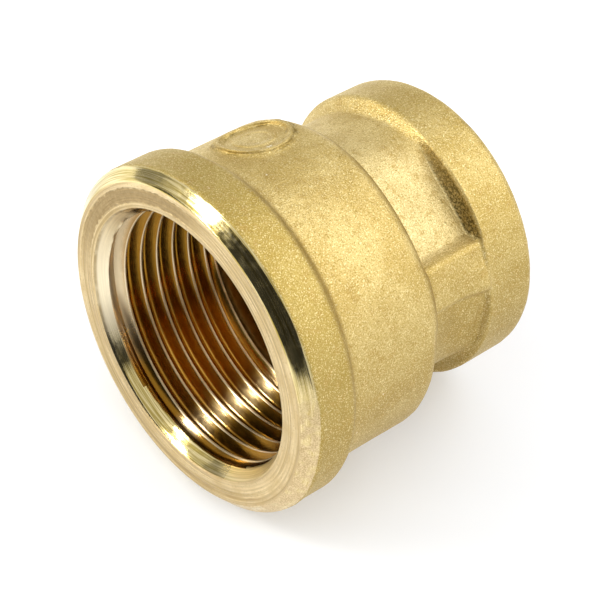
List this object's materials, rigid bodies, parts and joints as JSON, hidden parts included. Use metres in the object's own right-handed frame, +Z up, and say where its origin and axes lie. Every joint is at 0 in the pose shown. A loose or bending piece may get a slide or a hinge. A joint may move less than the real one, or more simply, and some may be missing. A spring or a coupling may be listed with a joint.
{
  "type": "reducing pipe coupling",
  "caption": "Short brass reducing coupling with two internal parallel pipe threads of different sizes, a stepped barrel and a neck with wrench flats.",
  "frame": {"origin": "centre of the large end face, on the bore axis", "axes": "+Y along the bore axis, from the large end to the small end; -Y is the large end face's outward normal; +Z is up, towards a corner between two wrench flats"},
  "size_m": [0.0416, 0.037, 0.0416],
  "materials": {
    "coupling_body": "sand-blasted forged brass outside; bright turned chamfers, end faces and threads"
  },
  "bodies": {
    "root": {"coupling_body": "coupling_body"}
  },
  "joints": []
}
